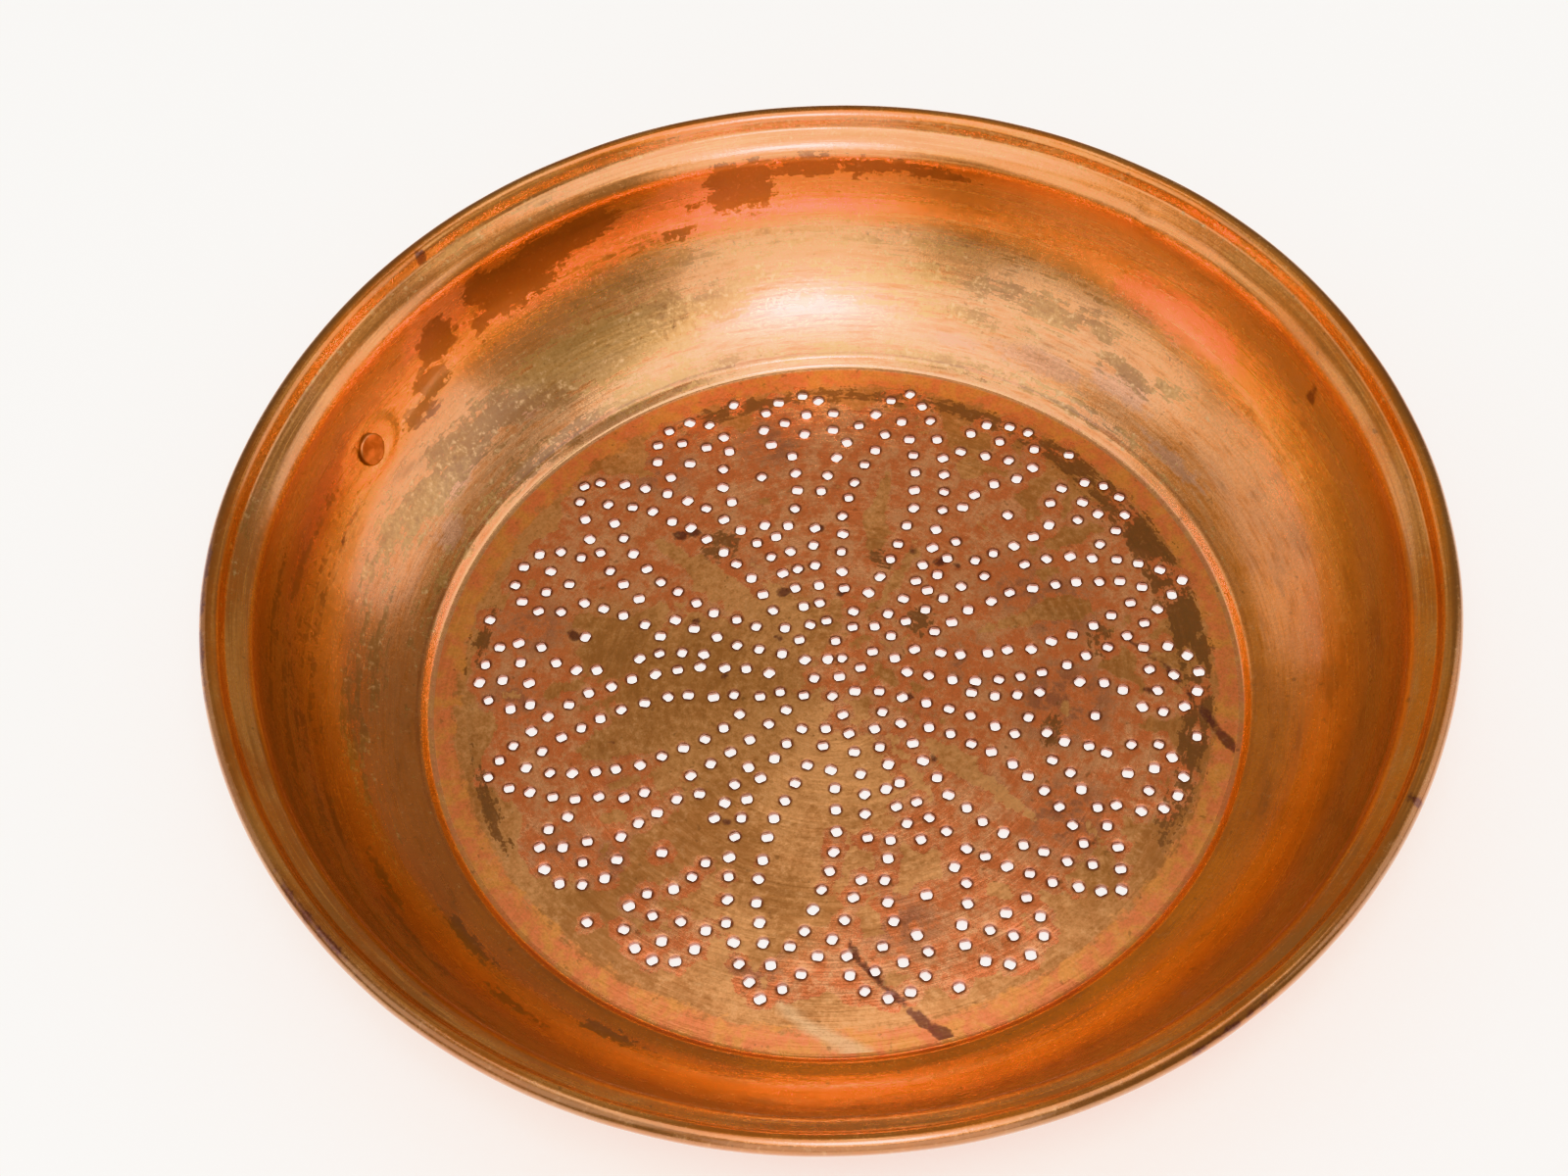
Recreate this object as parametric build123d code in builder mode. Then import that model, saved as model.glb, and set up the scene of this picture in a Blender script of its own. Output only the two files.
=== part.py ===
"""Antique copper colander: a shallow spun bowl with a wired lip, a stepped floor pierced with a
six-fold leaf and scroll pattern, and a hanging ring held in an eye rivet outside the wall.

Millimetres. +Z is up and the origin is at the centre of the floor's underside. The hanger is on
the -X side, so a section through it lies in the XZ plane.
"""
from build123d import *
from math import asin, cos, radians, sin
import os
import random

# Sheet and bowl
SHEET = 1.0
LIP_RADIUS = 160.0
LIP_TUBE_RADIUS = 2.7
LIP_HEIGHT = 57.0
SHOULDER_RADIUS = 147.2
SHOULDER_HEIGHT = 52.0
WALL_LEAN = 9.0
WALL_STRAIGHT_HEIGHT = 7.0
CREASE_RADIUS = 111.9
STEP_HEIGHT = 2.0
FLOOR_RADIUS = 110.1
SEAM_RADIUS = 108.5

# The lip is rolled round an iron wire; the ledge runs into the roll at this angle on its section
ROLL_START_ANGLE = 200.0
WIRE_CLEARANCE = 0.05

# Drain holes
HOLE_RADIUS = 1.5
LEAF_ANGLE = 43.75
PATTERN_CENTRE = (0.2, 3.2)
PUNCHING_ERROR = 0.3
# How far each sector was punched off its true place: sideways in mm, then turned in degrees
SECTOR_SLIPS = [(-1.7, -1.2), (-0.2, 0.0), (2.1, 1.0), (1.9, 0.9), (0.7, 0.8), (0.2, 0.1)]

# Hanger
RIVET_HEIGHT = 29.8
RIVET_HEAD_RADIUS = 4.5
RIVET_HEAD_THICKNESS = 1.2
RIVET_SHANK_RADIUS = 1.8
RIVET_HOLE_CLEARANCE = 0.05
PLATE_LENGTH = 22.0
PLATE_WIDTH = 13.0
PLATE_THICKNESS = 1.2
EYE_TUBE_RADIUS = 1.1
EYE_HOLE_RADIUS = 2.1
EYE_STANDOFF = 6.4
RING_RADIUS = 11.0
RING_WIRE_RADIUS = 1.5
RING_CLEARANCE = 0.15
HEAD_SEAT_GAP = 0.25

os.makedirs("parts", exist_ok=True)

# Points of the section, on the upper face of the sheet
lip_centre = (LIP_RADIUS - LIP_TUBE_RADIUS, LIP_HEIGHT)
roll_start = radians(ROLL_START_ANGLE)
groove = (
    lip_centre[0] + LIP_TUBE_RADIUS * cos(roll_start),
    lip_centre[1] + LIP_TUBE_RADIUS * sin(roll_start),
)
shoulder = (SHOULDER_RADIUS, SHOULDER_HEIGHT)
lean = radians(WALL_LEAN)
wall_top = (
    SHOULDER_RADIUS - WALL_STRAIGHT_HEIGHT * sin(lean) / cos(lean),
    SHOULDER_HEIGHT - WALL_STRAIGHT_HEIGHT,
)
crease = (CREASE_RADIUS, SHEET + STEP_HEIGHT)

# The wall's curve leaves the straight part smoothly and ends at the crease
run = wall_top[0] - crease[0]
rise = wall_top[1] - crease[1]
curve_radius = (run**2 + rise**2) / (2 * (run * cos(lean) - rise * sin(lean)))
curve_centre = (wall_top[0] - curve_radius * cos(lean), wall_top[1] + curve_radius * sin(lean))

# Hanger axis: square to the wall, out of it and down
drop = asin((curve_centre[1] - RIVET_HEIGHT) / curve_radius)
outward = (-cos(drop), 0, -sin(drop))


def along_rivet(distance):
    """Point on the rivet's axis, measured outward from the inner face of the wall."""
    reach = curve_radius + distance
    return Vector(-(curve_centre[0] + reach * cos(drop)), 0, curve_centre[1] - reach * sin(drop))


def rivet_plane(distance):
    """Plane across the rivet's axis, facing outward, with its X along the rim."""
    return Plane(origin=along_rivet(distance), x_dir=(0, 1, 0), z_dir=outward)


def arc_row(start, middle, end, count):
    """Evenly spaced hole centres along the arc through three points."""
    arc = ThreePointArc(start, middle, end)
    points = [arc @ (step / (count - 1)) for step in range(count)]
    return [(point.X, point.Y) for point in points]


def scroll(centre, start_angle, sweep, triad_angle):
    """Hole centres of one scroll: an open ring of eight round a triad."""
    ring = [(10.5, start_angle + sweep * step / 7) for step in range(8)]
    triad = [(4.0, triad_angle + 120 * step) for step in range(3)]
    return [
        (centre[0] + radius * cos(radians(angle)), centre[1] + radius * sin(radians(angle)))
        for radius, angle in ring + triad
    ]


def sector_holes():
    """Hole centres of one sixth of the pattern, with its leaf pointing along +Y."""
    holes = arc_row((3.8, 94.6), (16.9, 56.5), (5.8, 17.6), 14)
    holes += arc_row((-5.0, 94.5), (-14.6, 77.6), (-18.5, 59.6), 7)
    holes += arc_row((-17.4, 47.3), (-13.3, 31.8), (-6.7, 16.9), 6)
    holes += arc_row((2.8, 82.4), (8.3, 55.5), (2.3, 28.6), 10)
    holes += arc_row((-4.2, 82.5), (-9.9, 55.6), (-4.2, 28.8), 10)
    holes += arc_row((17.8, 32.5), (21.0, 41.0), (22.9, 49.7), 4)
    holes += arc_row((22.9, 61.5), (24.9, 67.0), (29.2, 71.4), 3)
    holes += arc_row((-23.9, 46.6), (-25.0, 58.8), (-29.2, 70.1), 5)
    holes += scroll((28.5, 82.2), 185, -236, 90)
    holes += scroll((-29.5, 81.5), 0, 235, 60)
    holes += [(0.2, 98.4), (-0.7, 88.0), (-0.4, 22.0), (-0.4, 16.4)]
    holes += [(0.0, 6.4), (-3.9, 11.1), (34.5, 61.4), (48.5, 85.2)]
    return holes


def punched(points):
    """Hole centres as a hand punch leaves them, each a little off its mark."""
    hand = random.Random(7)
    return [(x + hand.gauss(0, PUNCHING_ERROR), y + hand.gauss(0, PUNCHING_ERROR)) for x, y in points]


def turned(points, degrees):
    """Points turned about the origin."""
    turn = radians(degrees)
    return [(x * cos(turn) - y * sin(turn), x * sin(turn) + y * cos(turn)) for x, y in points]


def pattern_holes():
    """All hole centres: the middle hole and one sector after another, about the pattern's centre."""
    marks = [(0.0, 0.0)]
    for sector, (slip, twist) in enumerate(SECTOR_SLIPS):
        holes = [(x + slip, y) for x, y in turned(sector_holes(), twist)]
        marks += turned(holes, LEAF_ANGLE - 90 + 360 * sector / len(SECTOR_SLIPS))
    return [(x + PATTERN_CENTRE[0], y + PATTERN_CENTRE[1]) for x, y in punched(marks)]


# Floor: the pierced disc that the colander stands on
with BuildPart() as bowl_floor:
    with BuildSketch():
        Circle(SEAM_RADIUS)
        with Locations(*pattern_holes()):
            Circle(HOLE_RADIUS, mode=Mode.SUBTRACT)
    extrude(amount=SHEET)
bowl_floor.part.label = "bowl_floor"
export_step(bowl_floor.part, "parts/bowl_floor.step")

# Wall: step, curved side, ledge and rolled lip, in one with the floor on the real object
with BuildPart() as bowl_wall:
    with BuildSketch(Plane.XZ):
        with BuildLine():
            with BuildLine() as upper_face:
                Polyline((SEAM_RADIUS, SHEET), (FLOOR_RADIUS, SHEET), crease)
                RadiusArc(crease, wall_top, -curve_radius)
                Polyline(wall_top, shoulder, groove)
            offset(amount=SHEET, side=Side.RIGHT, closed=True)
        make_face()
        with Locations(lip_centre):
            Circle(LIP_TUBE_RADIUS)
            Circle(LIP_TUBE_RADIUS - SHEET, mode=Mode.SUBTRACT)
    revolve(axis=Axis.Z)
    with BuildSketch(rivet_plane(-SHEET)):
        Circle(RIVET_SHANK_RADIUS + RIVET_HOLE_CLEARANCE)
    extrude(amount=3 * SHEET, mode=Mode.SUBTRACT)
bowl_wall.part.label = "bowl_wall"
export_step(bowl_wall.part, "parts/bowl_wall.step")

# Iron wire inside the rolled lip
with BuildPart() as rim_wire:
    Torus(LIP_RADIUS - LIP_TUBE_RADIUS, LIP_TUBE_RADIUS - SHEET - WIRE_CLEARANCE)
rim_wire.part = rim_wire.part.move(Location((0, 0, LIP_HEIGHT)))
rim_wire.part.label = "rim_wire"
export_step(rim_wire.part, "parts/rim_wire.step")

# Oval plate under the eye, bent to the outside of the wall
with BuildPart() as hanger_plate:
    with BuildSketch(Plane.XZ):
        with Locations(curve_centre):
            Circle(curve_radius + SHEET + PLATE_THICKNESS)
            Circle(curve_radius + SHEET, mode=Mode.SUBTRACT)
            Rectangle(2 * CREASE_RADIUS, 2 * CREASE_RADIUS, align=(Align.MAX, Align.CENTER), mode=Mode.SUBTRACT)
    revolve(axis=Axis.Z)
    with BuildSketch(rivet_plane(0)):
        Ellipse(PLATE_LENGTH / 2, PLATE_WIDTH / 2)
        Circle(RIVET_SHANK_RADIUS + RIVET_HOLE_CLEARANCE, mode=Mode.SUBTRACT)
    extrude(amount=3 * PLATE_THICKNESS, mode=Mode.INTERSECT)
hanger_plate.part.label = "hanger_plate"
export_step(hanger_plate.part, "parts/hanger_plate.step")

# Eye rivet: flat head inside the bowl, shank through the wall and the plate, eye outside
eye_plane = rivet_plane(EYE_STANDOFF)
with BuildPart() as eye_rivet:
    with BuildSketch(rivet_plane(-HEAD_SEAT_GAP)):
        Circle(RIVET_HEAD_RADIUS)
    extrude(amount=-RIVET_HEAD_THICKNESS)
    fillet(eye_rivet.faces().sort_by(Axis(eye_plane.origin, eye_plane.z_dir))[0].edges(), 0.3)
    with BuildSketch(rivet_plane(-HEAD_SEAT_GAP)):
        Circle(RIVET_SHANK_RADIUS)
    extrude(amount=HEAD_SEAT_GAP + EYE_STANDOFF - EYE_HOLE_RADIUS - EYE_TUBE_RADIUS / 2)
    with Locations(Plane(origin=eye_plane.origin, x_dir=eye_plane.z_dir, z_dir=(0, 1, 0))):
        Torus(EYE_HOLE_RADIUS + EYE_TUBE_RADIUS, EYE_TUBE_RADIUS)
eye_rivet.part.label = "eye_rivet"
export_step(eye_rivet.part, "parts/eye_rivet.step")

# Ring, hanging from the eye; its wire turns about its own centre in the eye's hole
ring_pivot = eye_plane.origin - Vector(0, 0, EYE_HOLE_RADIUS - RING_WIRE_RADIUS - RING_CLEARANCE)
with BuildPart() as hanging_ring:
    with Locations(Plane(origin=ring_pivot - Vector(0, 0, RING_RADIUS), x_dir=(0, 1, 0), z_dir=(1, 0, 0))):
        Torus(RING_RADIUS, RING_WIRE_RADIUS)
hanging_ring.part.label = "hanging_ring"
export_step(hanging_ring.part, "parts/hanging_ring.step")
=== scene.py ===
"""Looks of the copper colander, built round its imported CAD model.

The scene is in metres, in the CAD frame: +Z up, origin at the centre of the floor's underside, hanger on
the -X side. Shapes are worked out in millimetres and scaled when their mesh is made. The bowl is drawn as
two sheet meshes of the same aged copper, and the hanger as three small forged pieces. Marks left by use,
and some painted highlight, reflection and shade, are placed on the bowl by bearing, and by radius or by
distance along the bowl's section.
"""
import math
import random

import bpy
import numpy as np
from mathutils import Matrix, Quaternion, Vector, geometry, noise


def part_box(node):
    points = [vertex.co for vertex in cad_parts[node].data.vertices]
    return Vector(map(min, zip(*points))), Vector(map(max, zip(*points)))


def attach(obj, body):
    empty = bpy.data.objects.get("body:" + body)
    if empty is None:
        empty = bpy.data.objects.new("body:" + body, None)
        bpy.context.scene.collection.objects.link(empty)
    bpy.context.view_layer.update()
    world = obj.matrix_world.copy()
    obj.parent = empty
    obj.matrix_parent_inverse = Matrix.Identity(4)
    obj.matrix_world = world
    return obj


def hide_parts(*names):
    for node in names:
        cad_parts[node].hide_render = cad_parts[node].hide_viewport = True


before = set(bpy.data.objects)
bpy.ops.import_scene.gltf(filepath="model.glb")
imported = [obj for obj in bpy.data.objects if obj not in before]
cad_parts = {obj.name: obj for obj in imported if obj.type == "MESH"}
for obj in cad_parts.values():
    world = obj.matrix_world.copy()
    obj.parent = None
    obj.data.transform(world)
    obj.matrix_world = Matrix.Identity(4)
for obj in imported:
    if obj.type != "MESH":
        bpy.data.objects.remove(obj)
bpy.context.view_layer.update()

MM = 0.001

# Section of the bowl as in the CAD model: lengths in millimetres, angles in radians
LIP_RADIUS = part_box("bowl_wall")[1].x / MM
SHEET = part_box("bowl_floor")[1].z / MM
SEAM_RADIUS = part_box("bowl_floor")[1].x / MM
LIP_TUBE = 2.7
LIP_CENTRE = (LIP_RADIUS - LIP_TUBE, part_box("bowl_wall")[1].z / MM - LIP_TUBE)
LEDGE_MEETS_ROLL = math.radians(200)
ROLL_START = math.radians(156)
ROLL_END = math.radians(-128)
SHOULDER = (147.2, 52.0)
WALL_TOP = (146.09, 45.0)
CREASE = (111.9, 3.0)
STEP_TOP = (111.9, 3.2)
FLOOR_EDGE = (109.8, 1.0)
HANGER_BEARING = math.pi
RIVET_HEIGHT = 29.8

# Camera: where it stands, and how it is turned, in radians, from looking straight at the rim's centre
CAMERA_BEARING = math.radians(-60.75)
CAMERA_ELEVATION = math.radians(55.54)
CAMERA_DISTANCE = 4.789 * LIP_RADIUS * MM
CAMERA_PAN = 0.0143
CAMERA_TILT = -0.0052
CAMERA_ROLL = 0.0669
CAMERA_LENS = 69.0

hand = random.Random(11)


# ---------------------------------------------------------------- small helpers

def noise_at(points):
    """Smooth noise, about -1 to 1, at each of the points."""
    return np.array([noise.noise(Vector(p)) for p in points])


def smoothstep(low, high, value):
    """0 below low, 1 above high, eased between them."""
    t = np.clip((value - low) / (high - low), 0.0, 1.0)
    return t * t * (3 - 2 * t)


def turn_between(bearing, centre):
    """Angle from centre to bearing, in degrees, between -180 and 180."""
    return (np.degrees(bearing) - centre + 180) % 360 - 180


def new_mesh(name, vertices, faces):
    """Object with a mesh given in millimetres."""
    mesh = bpy.data.meshes.new(name)
    mesh.from_pydata([tuple(c * MM for c in v) for v in vertices], [], faces)
    mesh.update()
    piece = bpy.data.objects.new(name, mesh)
    bpy.context.scene.collection.objects.link(piece)
    return piece


def ring_faces(steps, count):
    """Faces that join a closed section of count points, repeated in steps round a closed path."""
    faces = []
    for step in range(steps):
        here = step * count
        there = (step + 1) % steps * count
        for i in range(count):
            j = (i + 1) % count
            faces.append((here + i, there + i, there + j, here + j))
    return faces


def smooth(piece, angle):
    """Smooth shading, with edges sharper than angle, in degrees, kept."""
    mesh = piece.data
    mesh.polygons.foreach_set("use_smooth", np.ones(len(mesh.polygons), bool))
    mesh.set_sharp_from_angle(angle=math.radians(angle))


def layer(piece, name, values):
    """Float attribute, one value a vertex, for the material to read."""
    attribute = piece.data.attributes.new(name, "FLOAT", "POINT")
    attribute.data.foreach_set("value", np.asarray(values, np.float32))


# ---------------------------------------------------------------- section of the sheet

def rounded(corners, radii, steps=6):
    """Points along a broken line whose inner corners are rounded by arcs of the given radii."""
    points = [corners[0]]
    for before, corner, after, radius in zip(corners, corners[1:], corners[2:], radii):
        a = Vector(before) - Vector(corner)
        b = Vector(after) - Vector(corner)
        half = a.angle(b) / 2
        cut = radius / math.tan(half)
        start = Vector(corner) + a.normalized() * cut
        end = Vector(corner) + b.normalized() * cut
        for step in range(steps + 1):
            t = step / steps
            mid = start.lerp(Vector(corner), t).lerp(Vector(corner).lerp(end, t), t)
            points.append(tuple(mid))
    points.append(corners[-1])
    return points


def arc(centre, radius, start, end, steps):
    """Points on a circle from one angle to another."""
    angles = [start + (end - start) * step / steps for step in range(steps + 1)]
    return [(centre[0] + radius * math.cos(a), centre[1] + radius * math.sin(a)) for a in angles]


def wall_curve():
    """Centre and radius of the wall's arc, smooth with the straight part and ending at the crease."""
    lean = math.atan2(SHOULDER[0] - WALL_TOP[0], SHOULDER[1] - WALL_TOP[1])
    run = WALL_TOP[0] - CREASE[0]
    rise = WALL_TOP[1] - CREASE[1]
    radius = (run**2 + rise**2) / (2 * (run * math.cos(lean) - rise * math.sin(lean)))
    return (WALL_TOP[0] - radius * math.cos(lean), WALL_TOP[1] + radius * math.sin(lean)), radius


def subdivided(points, pitch):
    """The same line with no span longer than pitch."""
    fine = [points[0]]
    for a, b in zip(points, points[1:]):
        count = max(1, math.ceil(math.dist(a, b) / pitch))
        fine += [tuple(Vector(a).lerp(Vector(b), (i + 1) / count)) for i in range(count)]
    return fine


def roll_foot(roll_side):
    """Where the ledge's line meets the line that touches the roll at roll_side."""
    lip = Vector(LIP_CENTRE)
    ledge_end = lip + LIP_TUBE * Vector((math.cos(LEDGE_MEETS_ROLL), math.sin(LEDGE_MEETS_ROLL)))
    touching = (Vector(roll_side) - lip).orthogonal()
    return tuple(geometry.intersect_line_line_2d(
        Vector(SHOULDER), ledge_end + 3 * (ledge_end - Vector(SHOULDER)),
        Vector(roll_side) - 20 * touching, Vector(roll_side) + 20 * touching))


def upper_face():
    """Section of the sheet's upper face, from the floor seam to the groove under the roll."""
    centre, radius = wall_curve()
    start = math.atan2(CREASE[1] - centre[1], CREASE[0] - centre[0])
    end = math.atan2(WALL_TOP[1] - centre[1], WALL_TOP[0] - centre[0])
    wall = arc(centre, radius, start, end, 40)
    roll_side = arc(LIP_CENTRE, LIP_TUBE, ROLL_START, ROLL_START, 1)[0]
    groove = roll_foot(roll_side)
    foot = rounded([(SEAM_RADIUS, SHEET), FLOOR_EDGE, STEP_TOP, wall[3]], [1.5, 2.4])
    top = rounded([wall[-2], SHOULDER, groove, roll_side], [8.0, 1.6])
    return subdivided(foot + wall[4:-2] + top, 1.2)


def offset_line(points, distance):
    """The line moved sideways to its right by distance."""
    line = np.array(points)
    along = np.gradient(line, axis=0)
    along /= np.linalg.norm(along, axis=1)[:, None]
    return line + distance * np.column_stack([along[:, 1], -along[:, 0]])


# ---------------------------------------------------------------- wall of the bowl

SPOKES = 720

# Hand-made unevenness of the wall, in millimetres; most of it grows towards the lip
OUT_OF_ROUND = 0.45
THREE_LOBES = 0.25
RIPPLE = 0.35
FINE_RIPPLE = 0.14
LIP_SWAY = 0.35
LIP_WAVE = 0.2

# Print of the outside plate, pressed through the sheet round the rivet
PRINT_HALF_TURN = 4.7
PRINT_HALF_HEIGHT = 6.2
PRINT_DEPTH = 0.3

# Small dent at the shoulder: its place and spread by bearing in degrees and by height, and its depth
DENT_BEARING, DENT_TURN = 79.6, 1.1
DENT_HEIGHT, DENT_SPREAD = 51.5, 2.2
DENT_DEPTH = 0.7


def wall_warp(bearing, radius, height):
    """How far the wall stands out from true, in millimetres: outward and upward.

    Nothing is moved next to the hanger, so that its pieces keep their seat.
    """
    up = height / LIP_CENTRE[1]
    x = np.cos(bearing)
    y = np.sin(bearing)
    off_hanger = np.abs(np.angle(np.exp(1j * (bearing - HANGER_BEARING))))
    far_from_hanger = smoothstep(0.05, 0.3, off_hanger)
    round_ripple = noise_at(np.column_stack([3.0 * x, 3.0 * y, height * 0.03]))
    fine_ripple = noise_at(np.column_stack([9 * x, 9 * y, 4 + height * 0.08]))
    out = up**2 * (OUT_OF_ROUND * np.cos(2 * bearing + 0.6) + THREE_LOBES * np.cos(3 * bearing + 2.0))
    out += smoothstep(4, 16, height) * (RIPPLE * round_ripple + FINE_RIPPLE * fine_ripple)
    rise = up**2 * (LIP_SWAY * np.cos(2 * bearing - 0.9) + LIP_WAVE * np.cos(5 * bearing))
    from_rivet = np.hypot(turn_between(bearing, 180) / PRINT_HALF_TURN,
                          (height - RIVET_HEIGHT) / PRINT_HALF_HEIGHT)
    on_inner_wall = 1 - smoothstep(150, 153, radius)
    press = PRINT_DEPTH * (1 - smoothstep(0.85, 1.15, from_rivet)) * on_inner_wall
    dent = DENT_DEPTH * np.exp(-((turn_between(bearing, DENT_BEARING) / DENT_TURN) ** 2
                                 + ((height - DENT_HEIGHT) / DENT_SPREAD) ** 2))
    return far_from_hanger * out - press - dent, far_from_hanger * rise


def make_wall():
    """Step, wall, ledge and rolled lip, spun from one closed section."""
    top = upper_face()
    under = offset_line(top, SHEET)
    under[0] = (SEAM_RADIUS, 0.0)
    under = [tuple(p) for p in under[under[:, 0] > SEAM_RADIUS - 0.01]][::-1]
    roll = arc(LIP_CENTRE, LIP_TUBE, ROLL_START, ROLL_END, 30)[1:]
    tuck = arc(LIP_CENTRE, LIP_TUBE - SHEET, ROLL_END, ROLL_END, 1)[:1]
    section = np.array(top + roll + tuck + under[2:])
    spans = np.linalg.norm(np.diff(section, axis=0), axis=1)
    count = len(section)
    bearing = np.repeat(np.arange(SPOKES) * 2 * math.pi / SPOKES, count)
    radius = np.tile(section[:, 0], SPOKES)
    height = np.tile(section[:, 1], SPOKES)
    along = np.tile(SEAM_RADIUS + np.concatenate([[0], np.cumsum(spans)]), SPOKES)
    inner = np.tile((np.arange(count) < len(top)).astype(float), SPOKES)
    out, rise = wall_warp(bearing, radius, height)
    radius = radius + out
    height = height + rise
    vertices = np.column_stack([radius * np.cos(bearing), radius * np.sin(bearing), height])
    wall = new_mesh("copper_wall", vertices, ring_faces(SPOKES, count))
    return wall, bearing, radius, along, inner


# ---------------------------------------------------------------- pierced floor

HOLE_RADIUS = 1.5
HOLE_STEPS = 20
DIMPLE_DEPTH = 0.09
DIMPLE_WIDTH = 0.7

# Plan mesh: rings of points this far outside each hole's edge, and a grid between the holes
RING_GAPS = (0.22, 0.5, 0.95)
GRID_PITCH = 2.0
GRID_CLEARANCE = 3.2


def hole_centres(node):
    """Centres of the CAD floor's drain holes, in millimetres, from the walls of the holes."""
    mesh = node.data
    parent = {}

    def find(key):
        """First key of the group that a key belongs to."""
        while parent[key] != key:
            parent[key] = parent[parent[key]]
            key = parent[key]
        return key

    def place(index):
        """Plan place of a vertex, the same for the upper and the lower edge of a hole."""
        co = mesh.vertices[index].co
        return round(co.x / MM, 3), round(co.y / MM, 3)

    for face in mesh.polygons:
        if abs(face.normal.z) < 0.5:
            keys = [place(i) for i in face.vertices]
            for key in keys:
                parent.setdefault(key, key)
            for key in keys[1:]:
                parent[find(key)] = find(keys[0])
    groups = {}
    for key in parent:
        groups.setdefault(find(key), []).append(key)
    rings = [np.array(points) for points in groups.values()]
    centres = [(r.min(0) + r.max(0)) / 2 for r in rings if np.ptp(r[:, 0]) < SEAM_RADIUS]
    return np.array(sorted(map(tuple, centres)))


def hole_distances(points, centres):
    """Distance from each point to its nearest and its second nearest hole centre, in millimetres."""
    away = np.array([np.hypot(points[:, 0] - x, points[:, 1] - y) for x, y in centres])
    return np.partition(away, 1, axis=0)[:2]


def floor_rise(points):
    """Height of the floor above true, in millimetres: a slow hand-made waviness, nothing at the edge."""
    radius = np.hypot(points[:, 0], points[:, 1])
    inside = 1 - smoothstep(90, SEAM_RADIUS - 1, radius)
    layers = np.ones(len(points))
    wave = noise_at(np.column_stack([points * 0.03, 3.7 * layers]))
    planish = noise_at(np.column_stack([points * 0.11, 8.1 * layers]))
    return inside * (0.35 + 0.30 * wave + 0.10 * planish)


def circle(centre, radius, steps, shift=0.0, squash=0.0, lean=0.0):
    """Plan points round a centre, the first one shifted by a part of a step; squash makes an oval."""
    points = []
    for step in range(steps):
        a = 2 * math.pi * (step + shift) / steps
        r = radius * (1 + squash * math.cos(2 * (a - lean)))
        points.append((centre[0] + r * math.cos(a), centre[1] + r * math.sin(a)))
    return points


def floor_plan(centres):
    """Points and triangles of the pierced disc, seen from above; the holes are a little uneven."""
    outlines = []
    sizes = []
    for centre in centres:
        size = HOLE_RADIUS * hand.uniform(0.90, 1.07)
        lean = hand.uniform(0, math.pi)
        squash = hand.uniform(0.0, 0.07)
        outlines.append(circle(centre, size, HOLE_STEPS, 0.0, squash, lean))
        sizes.append(size)
    outlines.append(circle((0, 0), SEAM_RADIUS, SPOKES))
    edges = []
    points = []
    for outline in outlines:
        ring = list(range(len(points), len(points) + len(outline)))
        edges += list(zip(ring, ring[1:] + ring[:1]))
        points += outline
    around = [
        point
        for centre, size in zip(centres, sizes)
        for gap in RING_GAPS
        for point in circle(centre, size + gap, HOLE_STEPS, 0.5)
    ]
    around = np.array(around)
    around = around[hole_distances(around, centres)[1] > 2.0]
    rows = np.arange(-SEAM_RADIUS, SEAM_RADIUS, GRID_PITCH * 0.866)
    grid = np.array([
        (x + (GRID_PITCH / 2 if row % 2 else 0), y)
        for row, y in enumerate(rows)
        for x in np.arange(-SEAM_RADIUS, SEAM_RADIUS, GRID_PITCH)
    ])
    grid = grid[np.hypot(grid[:, 0], grid[:, 1]) < SEAM_RADIUS - 0.8]
    grid = grid[hole_distances(grid, centres)[0] > GRID_CLEARANCE]
    flat = [Vector(p) for p in [*points, *map(tuple, around), *map(tuple, grid)]]
    plan, _, triangles, _, _, _ = geometry.delaunay_2d_cdt(flat, edges, [], 0, 1e-6)
    plan = np.array([tuple(p) for p in plan])
    triangles = np.array([t for t in triangles if len(t) == 3])
    middle = plan[triangles].mean(axis=1)
    keep = np.hypot(middle[:, 0], middle[:, 1]) < SEAM_RADIUS
    for (x, y), size in zip(centres, sizes):
        keep &= np.hypot(middle[:, 0] - x, middle[:, 1] - y) > size * 0.85
    return plan, triangles[keep]


def make_floor(centres):
    """Pierced disc with a dimple at every punched hole, closed at the holes and at the seam."""
    plan, triangles = floor_plan(centres)
    distance = hole_distances(plan, centres)[0]
    rise = floor_rise(plan)
    dip = DIMPLE_DEPTH * (1 - smoothstep(1.45, 1.45 + DIMPLE_WIDTH, distance))
    count = len(plan)
    upper = np.column_stack([plan, SHEET + rise - dip])
    lower = np.column_stack([plan, np.maximum(rise - 0.3 * dip, 0.0)])
    triangles = [tuple(map(int, t)) for t in triangles]
    faces = triangles + [(c + count, b + count, a + count) for a, b, c in triangles]
    border = dict.fromkeys(edge for a, b, c in triangles for edge in ((a, b), (b, c), (c, a)))
    faces += [(b, a, a + count, b + count) for a, b in border if (b, a) not in border]
    used = sorted({i for f in faces for i in f})
    renumbered = {old: new for new, old in enumerate(used)}
    faces = [tuple(renumbered[i] for i in f) for f in faces]
    vertices = np.vstack([upper, lower])[used]
    plate = new_mesh("copper_floor", vertices, faces)
    return plate, np.concatenate([distance, distance])[used], vertices, np.array(used) < count
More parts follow.
